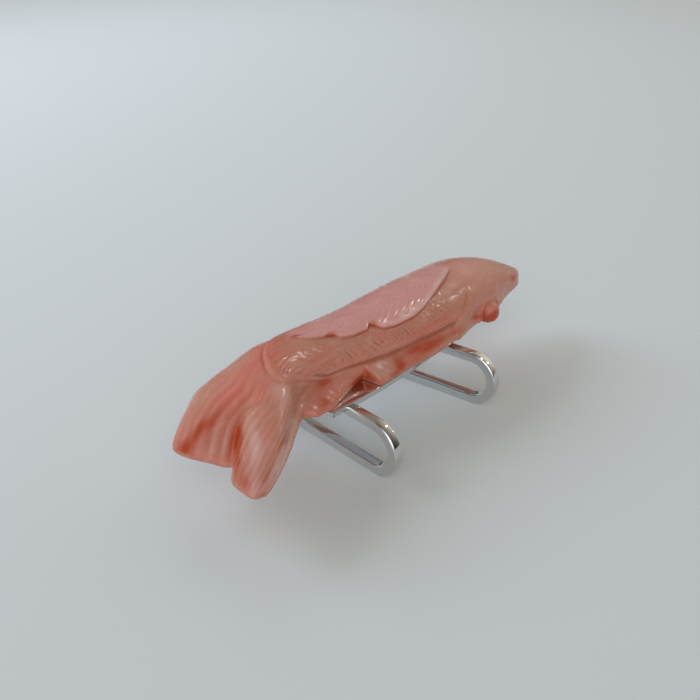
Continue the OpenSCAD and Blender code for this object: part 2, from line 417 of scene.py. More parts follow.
    def dorsal(self, x: Array, a: Array) -> Form:
        """Shapes the dorsal fin, folded down over the right flank.

        Args:
            x: Places along the carp.
            a: Angles over the dome.

        Returns:
            The height of the raised sheet, and that of its rolled edge and rays.
        """
        past = a - self.fold(x)
        on_fin = rise(past, -0.5, 0.6) * rise(x, 14.2, 13.2) * rise(x, -9.7, -9.2)
        lift = self.fin_raise * rise(a, self.ridge, self.ridge - 50) * rise(x, 14, 10)
        under_edge = bump(past + 1.6, 1.8) * rise(x, -9.7, -9)
        rolled = self.fin_roll * bump(past - 3.2, 3.0) - self.fin_roll * under_edge
        rays = self.fin_ray_cut * ridges((x - self.fin_ray_lean * a) / self.fin_ray_gap)
        rays = rays * rise(past, 4, 14) * rise(a, self.ridge + 8, self.ridge - 14)
        return on_fin * lift, on_fin * rays + rolled * rise(x, 14, 12.6) * rise(x, -10.4, -9.2)

    def scales(self, x: Array, a: Array) -> Array:
        """Carves the overlapping scales on both flanks, which end behind the gills.

        Args:
            x: Places along the carp.
            a: Angles over the dome.

        Returns:
            The height at each place.
        """
        side = up_from_foot(a)
        band = side / self.scale_high
        row = np.floor(band)
        across = 2 * (band - row) - 1
        place = x / self.scale_long + 0.5 * (row % 2) + self.scale_curve * across**2
        step = 1 - (place - np.floor(place))
        on_flank = rise(side, 7, 12) * rise(x, 9.5, 7.5) * rise(x, -12.4, -11)
        bare = np.where(a < 90, rise(self.fold(x) - a, 2, 5), rise(a, self.ridge, self.ridge + 8))
        behind_fin = np.maximum(bare, rise(x, -9.2, -10))
        bare = np.where((x < -9.6) | (a > 90), behind_fin, bare)
        return self.scale_raise * (step**2 - 0.4) * on_flank * bare

    def strokes(self, x: Array, a: Array) -> Array:
        """Cuts the upright strokes of the graver over the lower flank.

        Args:
            x: Places along the carp.
            a: Angles over the dome.

        Returns:
            The height at each place.
        """
        side = up_from_foot(a)
        upright, across = self.stroke_gap
        lines = ridges((x + 0.035 * side + 0.25 * np.sin(0.9 * x)) / upright)
        crossed = ridges((x - 0.05 * side + 0.4 * np.sin(0.23 * side)) / across)
        cut = self.stroke_cut[0] * lines + self.stroke_cut[1] * crossed
        return cut * bump(side - 25, 21) * rise(x, 9.8, 8.2) * rise(x, -10.5, -8.5)

    def gill(self, x: Array, a: Array) -> Form:
        """Shapes both gill covers, with a cut line behind each.

        Args:
            x: Places along the carp.
            a: Angles over the dome.

        Returns:
            The height of the covers, and that of the cut lines.
        """
        side = up_from_foot(a)
        past = x - straight(self.gill_line, side)
        shown = 1 - rise(side, 30, 50)
        cover = self.gill_raise * rise(past, -0.45, 0.35) * (1 - rise(past, 0, 5))
        return cover * shown, rolls(self.gill_rolls, past) * shown

    def root_edge(self, a: Array) -> Array:
        """Place of the rounded end of the scaled tail root at each angle."""
        return self.root_end + self.root_curve * (a - self.root_angle) ** 2

    def root(self, x: Array, a: Array) -> Form:
        """Shapes the tail root's rounded end.

        Args:
            x: Places along the carp.
            a: Angles over the dome.

        Returns:
            The height of the root, and that of the arcs and the fan of strokes on it.
        """
        past = x - self.root_edge(a)
        cover = self.root_raise * rise(past, -0.4, 0.3) * (1 - rise(past, 0.3, 4.6))
        fan = ridges((a - self.root_angle) / self.root_fan_gap + 0.1 * past)
        strokes = self.root_fan_cut * fan * rise(past, 0.3, 0.9) * (1 - rise(past, 2.2, 3.4))
        shown = rise(a, -4, 8) * (1 - rise(a, 125, 150))
        return cover * shown, (rolls(self.root_rolls, past) + strokes) * shown

    def lobes(self, x: Array, a: Array) -> Form:
        """Shapes the tail, whose right lobe lies over the left one.

        Args:
            x: Places along the carp.
            a: Angles over the dome.

        Returns:
            The height of the two lobes, and that of their rays.
        """
        past = a - self.fold(x)
        down = rise(x, self.lobe_start, self.lobe_start - 4)
        under = -self.lobe_step * rise(past, -0.6, 0.8) * (1 - rise(past, 0.8, 35))
        share = self.ray_share(x, a)
        on_lobes = rise(x, self.root_end - 0.6, self.root_end - 4.5) * rise(np.abs(past), 1, 7)
        broad = self.lobe_ray_cut[0] * ridges(share, self.lobe_ray_level)
        fine = self.lobe_ray_cut[1] * ridges(3 * share, self.lobe_ray_level)
        return down * under, on_lobes * (broad + fine)

    def creases(self, x: Array, a: Array) -> Form:
        """Cuts the grooves between the low fins and the flanks, and the line between the lips.

        Args:
            x: Places along the carp.
            a: Angles over the dome.

        Returns:
            The height of the wide hollows, and that of the fine lines.
        """
        side = up_from_foot(a)
        wide = -self.foot_hollow * bump(side, 14) * rise(x, -14.5, -11.5) * rise(x, 15, 11)
        line = -self.foot_cut * bump(side - straight(self.foot_line, x), 3.6)
        lips = -self.lip_cut * bump(side - straight(self.lip_line, x), 7)
        on_fins = rise(x, -11.0, -10.0) * rise(x, 9.4, 8.0)
        return wide, line * on_fins + lips * rise(x, 21.3, 22.5)

    def relief(self, x: Array, a: Array) -> Form:
        """How far each point of the dome stands off the plain shape.

        Args:
            x: Places along the carp.
            a: Angles over the dome.

        Returns:
            The height of the broad forms, and that of the lines and ripples on them.
        """
        makers = (self.dorsal, self.gill, self.root, self.lobes, self.creases)
        broad, fine = (sum(heights) for heights in zip(*(make(x, a) for make in makers)))
        ripples = self.ripple_raise * ripple(0.75 * x, 0.07 * np.clip(a, 0, 180))
        ripples = ripples * rise(x, self.tail, self.tail + 2)
        return broad, fine + self.scales(x, a) + self.strokes(x, a) + ripples

    def eye_view(self, points: Array, side: Side) -> tuple[Array, Array, Array]:
        """The head's points as one eye's ball has them.

        Args:
            points: The points of the head before the eyes swell.
            side: Which eye.

        Returns:
            The way that the eye looks, how far each point stands out that way from the ball's
            middle, and its distance from the ball's axis in radii, or FAR_OFF behind the ball.
        """
        centre, look = np.array(self.eye_at) + [0, 0, self.back], np.array(self.eye_look)
        if side is Side.LEFT:
            mirror = float(self.at(centre[:1], Part.MID)[0])
            centre[1], look[1] = 2 * mirror - centre[1], -look[1]
        beside = points - centre
        out = beside @ look
        across = np.sqrt(np.maximum((beside**2).sum(axis=1) - out**2, 0)) / self.eye_r
        return look, out, np.where(out > -self.eye_r, across, FAR_OFF)

    def eye_relief(self, points: Array) -> Array:
        """Swells the eyes: a ball with a ring cut in it, in a ring of lids.

        Args:
            points: The points of the head before the eyes swell.

        Returns:
            How each point moves.
        """
        moved = np.zeros_like(points)
        for side in Side:
            look, out, across = self.eye_view(points, side)
            over = self.eye_r * np.sqrt(np.clip(1 - across**2, 0, 1)) - out
            seam = np.maximum(self.eye_blend - np.abs(over), 0) ** 2 / self.eye_blend / 4
            ball = np.maximum(over, 0) + seam
            lift = ball * rise(across, 1.3, 0.95) + rolls(self.eye_rolls, across)
            moved += (lift * rise(out, -1.2, -0.4))[:, None] * look
        return moved

    def shortened(self, x: Array, a: Array) -> Array:
        """How far the tail's trailing edge stops short, at each place and angle."""
        short = smooth(self.tail_edge, np.clip(a, 0, 180) / 180)
        return rise(x, self.lobe_start, self.tail) * short

    def rimmed(self, x: Array, z: Array, rim: float) -> Array:
        """Draws a face of the tail towards its middle height over the last stretch of its length.

        Args:
            x: Places along the carp.
            z: The heights of the face.
            rim: The length of the stretch.

        Returns:
            The drawn-in heights.
        """
        middle = self.back + (self.at(x, Part.HIGH) + self.at(x, Part.LOW)) / 2
        inside = np.clip((self.tail + rim - x) / rim, 0, 1)
        return middle + (z - middle) * np.sqrt(np.clip(1 - inside**2, 0, 1))

    def bottom(self, x: Array) -> Array:
        """Height of the underside, which thins out towards the tail's rim."""
        return self.rimmed(x, self.back + self.at(x, Part.LOW), self.under_rim)

    def dome(self, x: Array, a: Array) -> Array:
        """Shapes the dome, before the eyes swell.

        Args:
            x: Places along the carp.
            a: Angles over the dome.

        Returns:
            The points.
        """
        turn = np.radians(np.clip(a, 0, 180))
        high, foot, off = self.at(x, Part.HIGH), self.at(x, Part.FOOT), sum(self.relief(x, a))
        lift = np.sin(turn) ** self.at(x, Part.FILL)
        y = self.at(x, Part.MID) - (self.at(x, Part.HALF) + off) * np.cos(turn)
        z = self.back + foot + (high - foot) * lift + off * np.sin(turn)
        return np.stack([x + self.shortened(x, a), y, self.rimmed(x, z, self.rim)], axis=1)

    def fin(self, x: Array, side: Side, s: Array) -> Array:
        """Shapes a low fin.

        Args:
            x: Places along the carp.
            side: The flank that the fin lies along.
            s: 0 at the free edge, 1 at the dome's foot.

        Returns:
            The points.
        """
        foot = self.dome(x, np.full_like(x, 0.0 if side is Side.RIGHT else 180.0))
        out = straight(self.right_flare if side is Side.RIGHT else self.left_flare, x)
        low = self.bottom(x)
        rays = ridges((x + 1.6 * s + 0.3 * np.sin(0.8 * x)) / self.low_ray_gap + 0.2)
        wide = np.clip(out, 0, 1.5) * bump(s - 0.5, 0.5)
        wide = wide * rise(x, self.root_end, self.root_end + 2)
        least, along_body, for_flare = self.low_full
        body = rise(x, self.tail, self.lobe_start) * rise(x, 22, 17)
        full = least + along_body * body + for_flare * np.clip(out, 0, 2)
        bulge = full * np.sin(np.pi * s) + self.low_ray_cut[0] * rays * wide
        y = foot[:, 1] + side.value * (out * (1 - s) + bulge)
        z = low + (foot[:, 2] - low) * s + self.low_ray_cut[1] * rays * wide
        return np.stack([foot[:, 0], y, z], axis=1)

    def underside(self, x: Array, a: Array) -> Array:
        """Shapes the flat back that is glued to the plate, which meets the dome at the rim.

        Args:
            x: Places along the carp.
            a: Angles over the dome above each point.

        Returns:
            The points.
        """
        half = self.back_share * self.at(x, Part.HALF)
        flat = self.at(x, Part.MID) - half * np.cos(np.radians(a))
        meets = rise(x, self.tail + 4, self.tail)
        y = (1 - meets) * flat + meets * self.dome(x, a)[:, 1]
        return np.stack([x + self.shortened(x, a), y, self.bottom(x)], axis=1)

    def over_dome(self, x: Array, column: Array) -> Array:
        """Angle of each column of the dome, close together along the folded edge.

        Args:
            x: Places along the carp.
            column: Columns, counted over the dome alone.

        Returns:
            The angles.
        """
        near, crest, far = self.dome_columns
        fold = self.fold(x)
        top = np.maximum(self.ridge, fold + 12)
        low = fold * (1 - (1 - np.clip(column / near, 0, 1)) ** self.crowding)
        middle = (top - fold) * np.clip((column - near) / crest, 0, 1) ** self.crowding
        return low + middle + (180 - top) * np.clip((column - near - crest) / far, 0, 1)

    def face(self, face: Face, x: Array, s: Array) -> tuple[Array, Array]:
        """Shapes one face of the carving.

        Args:
            face: Which face.
            x: Places along the carp.
            s: 0 where the face starts in the round of a section, 1 where it ends.

        Returns:
            The points, and the angle of each.
        """
        if face is Face.RIGHT_FIN:
            return self.fin(x, Side.RIGHT, s), -self.fin_degrees * (1 - s)
        if face is Face.LEFT_FIN:
            return self.fin(x, Side.LEFT, 1 - s), 180 + self.fin_degrees * s
        if face is Face.DOME:
            angles = self.over_dome(x, self.columns[Face.DOME] * s)
            return self.dome(x, angles), angles
        angles = self.over_dome(x, self.columns[Face.DOME] * (1 - s))
        start = 180 + self.fin_degrees
        return self.underside(x, angles), start + (180 - 2 * self.fin_degrees) * s

    def place(self, u: Array, column: Array) -> tuple[Array, Array, Array]:
        """Where each vertex of the grid goes.

        Args:
            u: 0 at the nose, 1 at the tail.
            column: Which column of the round the vertex is in.

        Returns:
            The points, the angle of each, which goes on past both feet over the fins, and the
            place of each one's section.
        """
        x = self.nose + (self.tail - self.nose) * u
        points, around = np.zeros((len(x), 3)), np.zeros(len(x))
        first = 0
        for face, count in self.columns.items():
            on = (column >= first) & (column < first + count)
            points[on], around[on] = self.face(face, x[on], (column[on] - first) / count)
            first += count
        return points, around, x

    def tints(self, x: Array, around: Array, patches: tuple[Patch, ...]) -> dict[Tint, Array]:
        """The strength of each colour over the carving.

        Args:
            x: Places along the carp.
            around: Angles, past both feet on the fins.
            patches: The soft patches of colour.

        Returns:
            One array for each tint, between 0 and 1.
        """
        made = {tint: np.zeros(len(x)) for tint in Tint}
        for patch in patches:
            made[patch.tint] += patch.over(x, around)
        past = around - self.fold(x)
        on_fin = (past > 0) * rise(x, 14.2, 12.5) * rise(x, -10, -8.8) * rise(around, 135, 100)
        front, (front_pale, rear_pale) = rise(x, -1.5, 1.5), self.edge_pale
        made[Tint.PINK] += on_fin
        made[Tint.PALE] += front_pale * on_fin * bump(past - 4, 7) * front
        made[Tint.PALE] += rear_pale * on_fin * bump(past - 3, 5) * (1 - front)
        along_fin = rise(x, 14, 12.5) * rise(x, -10, -9)
        # an orange-red line under the fin's edge: partly the coral's colour, partly painted shade
        # of the overhang
        made[Tint.RUST] += self.edge_rust_and_shade * bump(past + 1.8, 2.6) * along_fin
        on_dome = (around > -2) & (around < 182)
        _, cuts = self.relief(x, around)
        # painted shade: the carved cuts and the graver's strokes darken with their depth
        made[Tint.GROOVE_SHADE] += np.where(on_dome, np.clip(-cuts / self.dark_cut, 0, 1), 0)
        made[Tint.GROOVE_SHADE] += np.clip(-self.strokes(x, around) / self.dark_stroke, 0, 1)
        on_tail = on_dome * rise(x, self.root_end + 0.5, self.root_end - 3.5)
        share = self.ray_share(x, around)
        streak = 0.6 * np.sin(2 * np.pi * share) + 0.4 * np.sin(5.3 * share + 0.2 * x)
        made[Tint.RUST] += self.streak_rust * on_tail * np.clip(streak, 0, 1)
        made[Tint.PALE] += self.streak_pale * on_tail * np.clip(-streak, 0, 1)
        return {tint: np.clip(value, 0, 1) for tint, value in made.items()}

    def tint_eyes(self, tints: dict[Tint, Array], points: Array) -> None:
        """Colours the eyes: orange balls with painted shade and glow on their lower half, a
        painted highlight as a pale upper arc, and painted shade in the dark rings of their
        grooves.

        Args:
            tints: The colours' strengths, which are changed.
            points: The points of the head before the eyes swell.
        """
        # painted shade and glow: the ball turns deep orange below the eye's middle
        low = rise(points[:, 2] - self.back - self.eye_at[2], 1.25, 0.1)
        for side in Side:
            _, out, across = self.eye_view(points, side)
            across = np.where(out > -0.8, across, FAR_OFF)
            ball, ring = rise(across, 1.25, 0.95), bump(across - 1.12, 0.25)
            arc, cut = bump(across - 0.85, 0.2) * (1 - low), bump(across - 0.62, 0.16)
            # rust and blush low on the ball are painted shade and glow, the groove tint in the
            # rings and the rust in the inner cut are painted shade, and the pale arc is a painted
            # highlight
            for tint, strength in (
                (Tint.RUST, low * (ball + 0.8 * ring) + 0.5 * cut),
                (Tint.GROOVE_SHADE, 0.9 * ring * (0.6 + 0.4 * low)),
                (Tint.BLUSH, (0.35 + 0.45 * low) * rise(across, 2.3, 1.1)),
                (Tint.PALE, 0.25 * arc),
            ):
                tints[tint] = np.clip(np.maximum(tints[tint] * (1 - ball), strength), 0, 1)

    def zip_rim(self, mesh: bmesh.types.BMesh) -> None:
        """Closes the tail's rim, where the last row's vertices join those of the underside.

        Args:
            mesh: The carving, with the vertices of its last row tagged.
        """
        total = sum(self.columns.values())
        start = total - self.columns[Face.UNDERSIDE]
        last = sorted((v for v in mesh.verts if v.tag), key=lambda v: v.index)
        kept = last[start:total + 1] + last[:1]
        places = np.array([vert.co for vert in kept])
        joins = {}
        for vert in last:
            if vert not in kept:
                away = np.linalg.norm(places - np.array(vert.co), axis=1)
                joins[vert] = kept[int(np.argmin(away))]
        bmesh.ops.weld_verts(mesh, targetmap=joins)

    def close(self, mesh: bmesh.types.BMesh) -> None:
        """Joins the grid's edges, and caps the holes that are left at the nose and the tail.

        Args:
            mesh: The carving, with a layer for each tint.
        """
        self.zip_rim(mesh)
        bmesh.ops.remove_doubles(mesh, verts=mesh.verts, dist=self.weld * MM)
        open_edges = [edge for edge in mesh.edges if edge.is_boundary]
        filled = bmesh.ops.holes_fill(mesh, edges=open_edges)
        caps = bmesh.ops.poke(mesh, faces=filled["faces"])
        for vert in caps["verts"]:
            ring = [edge.other_vert(vert) for edge in vert.link_edges]
            if vert.co.x > 0:
                vert.co.x += self.nose_reach * MM
            for layer in mesh.verts.layers.float.values():
                vert[layer] = sum(near[layer] for near in ring) / len(ring)
        bmesh.ops.recalc_face_normals(mesh, faces=mesh.faces)

    def build(self, patches: tuple[Patch, ...]) -> bpy.types.Object:
        """Makes the carving as one closed mesh.

        Args:
            patches: The soft patches of colour.

        Returns:
            The carving, with an attribute for each tint.
        """
        total = sum(self.columns.values())
        mesh = bmesh.new()
        bmesh.ops.create_grid(mesh, x_segments=self.rows, y_segments=total, size=0.5)
        flat = np.array([vert.co for vert in mesh.verts])
        u = flat[:, 0] + 0.5
        column = np.rint((flat[:, 1] + 0.5) * total).astype(int) % total
        points, around, x = self.place(u, column)
        tints = self.tints(x, around, patches)
        self.tint_eyes(tints, points)
        points += self.eye_relief(points)
        points[:, 0] -= MIDDLE
        layers = {tint: mesh.verts.layers.float.new(tint.value) for tint in Tint}
        for i, vert in enumerate(mesh.verts):
            vert.co = Vector(points[i]) * MM
            for tint, layer in layers.items():
                vert[layer] = float(tints[tint][i])
            vert.tag = bool(u[i] > 1 - 0.5 / self.rows)
        mesh.verts.index_update()
        self.close(mesh)
        return finished("carved_carp", mesh)


def finished(name: str, mesh: bmesh.types.BMesh) -> bpy.types.Object:
    """Turns a bmesh into an object of the scene with smooth faces.

    Args:
        name: The object's name.
        mesh: The bmesh, which is freed.

    Returns:
        The new object.
    """
    for face in mesh.faces:
        face.smooth = True
    data = bpy.data.meshes.new(name)
    mesh.to_mesh(data)
    mesh.free()
    piece = bpy.data.objects.new(name, data)
    bpy.context.scene.collection.objects.link(piece)
    return piece


@dataclass
class CordFitting:
    """The metal fitting: a thin curved plate soldered across two oblong loops."""

    loop_h: float = 6.5
    loop_w: float = 18.8
    wire_t: float = 1.15
    wire_w: float = 1.2
    wire_edge: float = 0.24
    loop_span: float = 16.1
    loop_turn: float = 4.75
    loop_steps: int = 96
    plate_t: float = 0.6
    plate_w: float = 8.6
    plate_r: float = 100.0
    plate_tail: float = 11.2
    plate_head: float = 12.6
    plate_edge: float = -3.3
    plate_rim: float = 0.1
    plate_steps: tuple[int, int] = (72, 8)
    solder: float = 0.1
    # faces in each rounding, and the angles that are rounded and that are shaded as edges
    edge_steps: int = 4
    rounded_angle: float = 60.0
    shaded_angle: float = 40.0

    def rounded(self, mesh: bmesh.types.BMesh, offset: float) -> None:
        """Rounds the sharp edges of a bmesh.

        Args:
            mesh: The bmesh.
            offset: The rounding's width, in millimetres.
        """
        bmesh.ops.recalc_face_normals(mesh, faces=mesh.faces)
        least = math.radians(self.rounded_angle)
        sharp = [edge for edge in mesh.edges if edge.calc_face_angle(0) > least]
        bmesh.ops.bevel(
            mesh, geom=sharp, offset=offset, segments=self.edge_steps, profile=0.5,
            affect="EDGES", material=-1, clamp_overlap=True,
        )

    def thickened(self, mesh: bmesh.types.BMesh, way: Point) -> None:
        """Gives a flat bmesh its thickness.

        Args:
            mesh: The bmesh.
            way: How far its second face lies from its first, in millimetres.
        """
        sheet = bmesh.ops.extrude_face_region(mesh, geom=mesh.faces[:])
        moved = [item for item in sheet["geom"] if isinstance(item, bmesh.types.BMVert)]
        bmesh.ops.translate(mesh, verts=moved, vec=way)

    def oblong(self, mesh: bmesh.types.BMesh, width: float, height: float) -> None:
        """Adds an oblong ring of vertices with round ends, across the carp.

        Args:
            mesh: The bmesh that the ring goes in.
            width: Its size along Y.
            height: Its size along Z.
        """
        ring = bmesh.ops.create_circle(mesh, segments=self.loop_steps, radius=height / 2)
        for vert in ring["verts"]:
            side = 1 if vert.co.x > 0 else -1
            y = vert.co.x + side * (width - height) / 2
            vert.co = Vector((-self.wire_w / 2, y, vert.co.y))

    def loop(self, end: int) -> bmesh.types.BMesh:
        """Makes one loop of rectangular wire with rounded edges.

        Args:
            end: 1 for the loop under the head, -1 for the one under the tail root.

        Returns:
            The loop.
        """
        mesh = bmesh.new()
        self.oblong(mesh, self.loop_w, self.loop_h)
        self.oblong(mesh, self.loop_w - 2 * self.wire_t, self.loop_h - 2 * self.wire_t)
        bmesh.ops.bridge_loops(mesh, edges=mesh.edges[:])
        self.thickened(mesh, (self.wire_w, 0, 0))
        self.rounded(mesh, self.wire_edge)
        turn = Matrix.Rotation(math.radians(end * self.loop_turn), 4, "Z")
        place = Matrix.Translation((end * self.loop_span / 2 - MIDDLE, 0, self.loop_h / 2))
        bmesh.ops.transform(mesh, matrix=Matrix.Scale(MM, 4) @ place @ turn, verts=mesh.verts)
        return mesh

    def plate(self) -> bmesh.types.BMesh:
        """Makes the plate, whose long sides are arcs round one middle.

        Returns:
            The plate.
        """
        mesh = bmesh.new()
        along, across = self.plate_steps
        bmesh.ops.create_grid(mesh, x_segments=along, y_segments=across, size=0.5)
        centre_y = self.plate_edge + self.plate_r
        for vert in mesh.verts:
            x = -self.plate_tail + (vert.co.x + 0.5) * (self.plate_tail + self.plate_head)
            radius = self.plate_r - (vert.co.y + 0.5) * self.plate_w
            vert.co = Vector((x - MIDDLE, centre_y - math.sqrt(radius**2 - x * x), 0))
        self.thickened(mesh, (0, 0, self.plate_t))
        self.rounded(mesh, self.plate_rim)
        lift = Matrix.Translation((0, 0, self.loop_h - self.solder))
        bmesh.ops.transform(mesh, matrix=Matrix.Scale(MM, 4) @ lift, verts=mesh.verts)
        return mesh

    def build(self) -> bpy.types.Object:
        """Joins the plate and the two loops into one soldered solid.

        Returns:
            The fitting.
        """
        fitting = finished("polished_fitting", self.plate())
        loops = [finished(f"loop_{end}", self.loop(end)) for end in (-1, 1)]
        for loop in loops:
            joined = fitting.modifiers.new("solder", "BOOLEAN")
            joined.operation, joined.solver, joined.object = "UNION", "EXACT", loop
        whole = fitting.evaluated_get(bpy.context.evaluated_depsgraph_get())
        data = bpy.data.meshes.new_from_object(whole)
        fitting.modifiers.clear()
        fitting.data = data
        data.set_sharp_from_angle(angle=math.radians(self.shaded_angle))
        for loop in loops:
            bpy.data.objects.remove(loop)
        return fitting


class Shader:
    """A short way to write a node material."""

    # the colour sockets of a mixing node: the two that go in, and the one that comes out
    MIX_LOWER, MIX_UPPER, MIX_RESULT = 6, 7, 2

    def __init__(self, name: str) -> None:
        """Starts a material with a Principled shader.

        Args:
            name: The material's name.
        """
        self.material = bpy.data.materials.new(name)
        self.material.use_nodes = True
        self.tree = self.material.node_tree
        self.surface = self.tree.nodes["Principled BSDF"].inputs

    def node(self, kind: str, **values: object) -> bpy.types.Node:
        """Adds a node.

        Args:
            kind: The node's type.
            **values: Values of its properties, or else of its sockets, by name.

        Returns:
            The node.
        """
        node = self.tree.nodes.new(kind)
        for key, value in values.items():
            if hasattr(node, key):
                setattr(node, key, value)
            else:
                node.inputs[key.replace("_", " ").title()].default_value = value
        return node

    def link(self, start: Socket, end: Socket) -> None:
        """Links two sockets."""
        self.tree.links.new(start, end)

    def even(self, **values: object) -> None:
        """Sets values that are the same all over the surface, by their sockets' names."""
        for key, value in values.items():
            self.surface[key.replace("_", " ")].default_value = value

    def mix(self, share: Socket, under: Socket | Colour, over: Colour) -> Socket:
        """Mixes a colour over another.

        Args:
            share: How much of the upper colour shows.
            under: The lower colour.
            over: The upper colour.

        Returns:
            The mixed colour.
        """
        node = self.node("ShaderNodeMix", data_type="RGBA")
        self.link(share, node.inputs["Factor"])
        if isinstance(under, Socket):
            self.link(under, node.inputs[self.MIX_LOWER])
        else:
            node.inputs[self.MIX_LOWER].default_value = (*under, 1)
        node.inputs[self.MIX_UPPER].default_value = (*over, 1)
        return node.outputs[self.MIX_RESULT]

    def shaped(
        self, value: Socket, low: float, high: float, to_low: float, to_high: float
    ) -> Socket:
        """Maps a value from one range softly to another.

        Args:
            value: The value.
            low: The range's lower end.
            high: Its upper end.
            to_low: What the lower end becomes.
            to_high: What the upper end becomes.

        Returns:
            The mapped value.
        """
        node = self.node(
            "ShaderNodeMapRange", interpolation_type="SMOOTHSTEP",
            from_min=low, from_max=high, to_min=to_low, to_max=to_high,
        )
        self.link(value, node.inputs["Value"])
        return node.outputs[0]

    def noise(self, scale: float, detail: float = 3, stretch: Point = (1, 1, 1)) -> Socket:
        """Noise on the object's own coordinates.

        Args:
            scale: How many features there are in a metre.
            detail: The number of finer layers.
            stretch: Scale along each axis.

        Returns:
            The noise's value.
        """
        place = self.node("ShaderNodeTexCoord")
        turned = self.node("ShaderNodeMapping")
        turned.inputs["Scale"].default_value = stretch
        self.link(place.outputs["Object"], turned.inputs["Vector"])
        node = self.node("ShaderNodeTexNoise", scale=scale, detail=detail)
        self.link(turned.outputs[0], node.inputs["Vector"])
        return node.outputs["Fac"]

    def attribute(self, name: str) -> Socket:
        """The value of one of the mesh's own attributes."""
        return self.node("ShaderNodeAttribute", attribute_name=name).outputs["Fac"]

    def times(self, first: Socket, second: Socket) -> Socket:
        """Multiplies two values.

        Args:
            first: One value.
            second: The other.

        Returns:
            Their product.
        """
        node = self.node("ShaderNodeMath", operation="MULTIPLY")
        self.link(first, node.inputs[0])
        self.link(second, node.inputs[1])
        return node.outputs[0]

    def bumped(self, height: Socket, distance: float, strength: float) -> None:
        """Adds a bump to the surface.

        Args:
            height: The bump's height, between 0 and 1.
            distance: What a height of 1 stands for, in millimetres.
            strength: How much of the bump shows.
        """
        node = self.node("ShaderNodeBump", strength=strength, distance=distance * MM)
        self.link(height, node.inputs["Height"])
        self.link(node.outputs[0], self.surface["Normal"])

    def put_on(self, piece: bpy.types.Object) -> None:
        """Gives the material to a piece, as its only one."""
        piece.data.materials.clear()
        piece.data.materials.append(self.material)


@dataclass(frozen=True)
class CoralFinish:
    """Polished pink coral: flesh-coloured, with pink, whitish and orange-red zones, and painted
    shade in its grooves.
    """

    flesh: Colour = (0.535, 0.23, 0.16)
    pink: Colour = (0.68, 0.32, 0.30)
    pale: Colour = (0.68, 0.43, 0.38)
    blush: Colour = (0.60, 0.155, 0.11)
    rust: Colour = (0.43, 0.046, 0.006)
    # painted shade: the dark colour of the cuts, creases and the notch's recess
    groove: Colour = (0.36, 0.095, 0.05)
    # how much of each colour shows where its tint is strongest
    blush_share: float = 0.9
    pink_share: float = 0.85
    pale_share: float = 0.9
    groove_shade_share: float = 0.7
    rust_share: float = 0.95
    # features in a metre, drawn out along the carp: clouds of blush, and a paler grain
    cloud_scale: float = 330.0
    cloud_stretch: Point = (0.45, 1, 1)
    cloud_share: float = 0.55
    grain_scale: float = 1500.0
    grain_stretch: Point = (0.3, 1, 1)
    grain_share: float = 0.25
    roughness: tuple[float, float] = (0.22, 0.35)
    # how light goes into the coral: its share, how far each colour goes, and the depth
    inner_light: float = 0.12
    inner_reach: Colour = (1.0, 0.4, 0.25)
    inner_depth: float = 0.9
    ior: float = 1.49
    specular: float = 0.42
    coat: float = 0.15
    coat_roughness: float = 0.08
    polish_scale: float = 2600.0
    polish_depth: float = 0.012
    polish_share: float = 0.6

    def coloured(self, shader: Shader, clouds: Socket, grain: Socket) -> Socket:
        """Mixes the coral's colours, zone over zone.

        Args:
            shader: The material.
            clouds: The noise of the broad clouds.
            grain: The noise of the fine grain.

        Returns:
            The colour.
        """
        cloudy = shader.shaped(clouds, 0.42, 0.72, 0, self.cloud_share)
        colour = shader.mix(cloudy, self.flesh, self.blush)
        grained = shader.shaped(grain, 0.55, 0.75, 0, self.grain_share)
        colour = shader.mix(grained, colour, self.pale)
        broken = shader.shaped(clouds, 0.3, 0.6, 0.75, 1.0)
        for tint, upper, share in (
            (Tint.BLUSH, self.blush, self.blush_share),
            (Tint.PINK, self.pink, self.pink_share),
            (Tint.PALE, self.pale, self.pale_share),
        ):
            value = shader.times(shader.attribute(tint.value), broken)
            colour = shader.mix(shader.shaped(value, 0, 1, 0, share), colour, upper)
        # painted shade in the cuts, creases and recess, mixed over the coral's colours
        groove = shader.attribute(Tint.GROOVE_SHADE.value)
        groove = shader.shaped(groove, 0.1, 1, 0, self.groove_shade_share)
        colour = shader.mix(groove, colour, self.groove)
        rust = shader.times(shader.attribute(Tint.RUST.value), broken)
        rust = shader.shaped(rust, 0, 1, 0, self.rust_share)
        return shader.mix(rust, colour, self.rust)

    def dress(self, piece: bpy.types.Object) -> None:
        """Gives the carving its coral.

        Args:
            piece: The carving.
        """
        shader = Shader("polished_coral")
        clouds = shader.noise(self.cloud_scale, 4, self.cloud_stretch)
        grain = shader.noise(self.grain_scale, 3, self.grain_stretch)
        shader.link(self.coloured(shader, clouds, grain), shader.surface["Base Color"])
        shader.link(shader.shaped(grain, 0.3, 0.8, *self.roughness), shader.surface["Roughness"])
        shader.even(
            Subsurface_Weight=self.inner_light, Subsurface_Radius=self.inner_reach,
            Subsurface_Scale=self.inner_depth * MM, IOR=self.ior,
            Specular_IOR_Level=self.specular, Coat_Weight=self.coat,
            Coat_Roughness=self.coat_roughness,
        )
        shader.bumped(shader.noise(self.polish_scale), self.polish_depth, self.polish_share)
        shader.put_on(piece)


